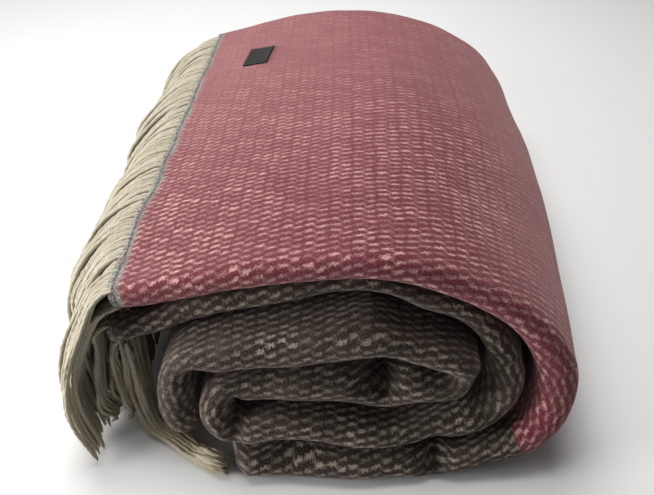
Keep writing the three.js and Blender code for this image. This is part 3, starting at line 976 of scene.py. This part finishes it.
def bandMaterial():
    material, tree, shader = newMaterial("greyEndBand", 0.95, 0.3, "e0dcd6")
    onPiece = addNode(tree, "ShaderNodeTexCoord").outputs["Object"]
    fine = cloudy(tree, onPiece, 480, 3, 0.65)
    tone = mixColour(tree, ramp(tree, fine, 0.32, 0.68), *[colour(tone) for tone in fringe["band"]])
    tree.links.new(tone, shader.inputs["Base Color"])
    bumped(tree, shader, fine, 0.9, 0.0014)
    return material


greyBand = bandMaterial()
fringes = []
for node, rows in fringeRows.items():
    stations = [beyondEnd(node, fringe["bandWidth"] * share) for share in (0, 0.5, 1)]
    if node == "fringe_pink_end":
        stations = stations[::-1]
    band = sheetPiece(node + "Band", np.array(stations))
    band.data.materials.append(greyBand)
    lines = strandLines(node, rows)
    if node == "fringe_grey_end":
        lines += tuckedLines()
    piece = joined(node + "Wool", [band, fringePiece(node + "Strands", lines)])
    fringes.append(piece)
    print(piece.name, triangles(piece), "triangles")

# The label, in millimetres; its turn is in radians
label = {
    "width": 28, "length": 54, "x": -93, "y": 390, "turn": -0.07, "gap": 0.5, "thick": 0.8, "curl": 0.7,
    "steps": (12, 22), "stitches": 11, "stitchAt": 0.46,
    "ribbon": ("100f0e", "24231f"), "thread": "3c3a33",
}


def labelPiece():
    surface = BVHTree.FromPolygons(
        [v.co for v in cloth.data.vertices], [p.vertices[:] for p in cloth.data.polygons])
    across, along = label["steps"]
    cosTurn, sinTurn = math.cos(label["turn"]), math.sin(label["turn"])
    points = []
    for layer in (1, 0):
        for i in range(along + 1):
            for j in range(across + 1):
                u = label["width"] * (j / across - 0.5)
                v = label["length"] * (i / along - 0.5)
                x = label["x"] + u * cosTurn - v * sinTurn + blanket["shift"][0]
                y = label["y"] + u * sinTurn + v * cosTurn + blanket["shift"][1]
                hit = surface.ray_cast(Vector((x / 1000, y / 1000, 1)), Vector((0, 0, -1)))[0]
                curl = label["curl"] * (2 * abs(j / across - 0.5)) ** 4
                lift = label["gap"] + curl + layer * label["thick"]
                points.append((x / 1000, y / 1000, hit.z + lift / 1000))
    uv = [(j / across, i / along) for i in range(along + 1) for j in range(across + 1)]
    return smoothMesh("wovenLabel", points, sheetFaces(along + 1, across + 1), uv + uv)


def labelMaterial():
    material, tree, shader = newMaterial("wovenLabelRibbon", 0.6, 0.1, "ffffff")
    uv = addNode(tree, "ShaderNodeUVMap", uv_map="UVMap").outputs[0]
    wave = addNode(tree, "ShaderNodeTexWave", wave_type="BANDS", bands_direction="Y")
    fill(tree, wave.inputs["Vector"], uv)
    wave.inputs["Scale"].default_value = 16
    wave.inputs["Distortion"].default_value = 0.4
    tone = mixColour(tree, wave.outputs[1], *[colour(tone) for tone in label["ribbon"]])
    # Rows of stitches hold the two short ends.
    across, along = axes(tree, uv)[0:2]
    fromEnd = offMiddle(tree, offMiddle(tree, along, 0.5), label["stitchAt"])
    inStitch = calc(tree, "FRACT", calc(tree, "MULTIPLY", across, label["stitches"]))
    stitch = product(tree, ramp(tree, fromEnd, 0.014, 0.007),
                     ramp(tree, offMiddle(tree, inStitch, 0.5), 0.36, 0.28))
    tone = mixColour(tree, stitch, tone, colour(label["thread"]))
    tree.links.new(tone, shader.inputs["Base Color"])
    bumped(tree, shader, calc(tree, "ADD", wave.outputs[1], stitch), 0.4, 0.0003)
    return material


wovenLabel = labelPiece()
wovenLabel.data.materials.append(labelMaterial())
print("label made")

# Floor, light and camera
floorHalf, floorZ = 6, -0.0006
corners = [(x * floorHalf, y * floorHalf, floorZ) for x, y in ((-1, -1), (1, -1), (1, 1), (-1, 1))]
floorMesh = bpy.data.meshes.new("studioFloor")
floorMesh.from_pydata(corners, [], [(0, 1, 2, 3)])
floor = bpy.data.objects.new("studioFloor", floorMesh)
bpy.context.collection.objects.link(floor)
floorPaint = newMaterial("paleFloor", 0.85, 0.0, "ffffff")[0]
floorPaint.node_tree.nodes["Principled BSDF"].inputs["Base Color"].default_value = (0.8, 0.8, 0.795, 1)
floorMesh.materials.append(floorPaint)

studio = {
    "worldStrength": 0.11,
    "lamps": {
        "above": {"at": (-0.25, 0.4, 1.5), "look": (0, 0.02, 0.05), "size": 1.15, "power": 29},
        "left": {"at": (-1.35, -0.45, 0.42), "look": (-0.15, -0.1, 0.1), "size": 0.7, "power": 9},
        "fringeSide": {"at": (-0.86, -0.42, 0.2), "look": (-0.2, -0.22, 0.06), "size": 0.3, "power": 4.5},
    },
    "cameraAt": (0.00635, -0.55045, 0.4726),
    "pitch": 40.6,
    "yaw": -1.2,
    "lens": 35.78,
}
world = bpy.data.worlds.new("studioLight")
bpy.context.scene.world = world
world.use_nodes = True
world.node_tree.nodes["Background"].inputs["Color"].default_value = (1, 1, 1, 1)
world.node_tree.nodes["Background"].inputs["Strength"].default_value = studio["worldStrength"]
for name, lamp in studio["lamps"].items():
    light = bpy.data.lights.new(name, "AREA")
    light.size = lamp["size"]
    light.energy = lamp["power"]
    holder = bpy.data.objects.new(name, light)
    holder.location = lamp["at"]
    holder.rotation_euler = (Vector(lamp["look"]) - Vector(lamp["at"])).to_track_quat("-Z", "Y").to_euler()
    bpy.context.collection.objects.link(holder)

camera = bpy.data.objects.new("camera", bpy.data.cameras.new("camera"))
camera.data.lens = studio["lens"]
camera.data.sensor_width = 36
camera.location = studio["cameraAt"]
camera.rotation_euler = (math.radians(90 - studio["pitch"]), 0, math.radians(-studio["yaw"]))
bpy.context.collection.objects.link(camera)
bpy.context.scene.camera = camera
bpy.context.scene.view_settings.view_transform = "Standard"
print("studio set")

for piece in (cloth, clothNap):
    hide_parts("cloth")
for piece, node in zip(fringes, fringeRows):
    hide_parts(node)
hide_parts("label")
for piece in (cloth, clothNap, wovenLabel, *fringes):
    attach(piece, "root")
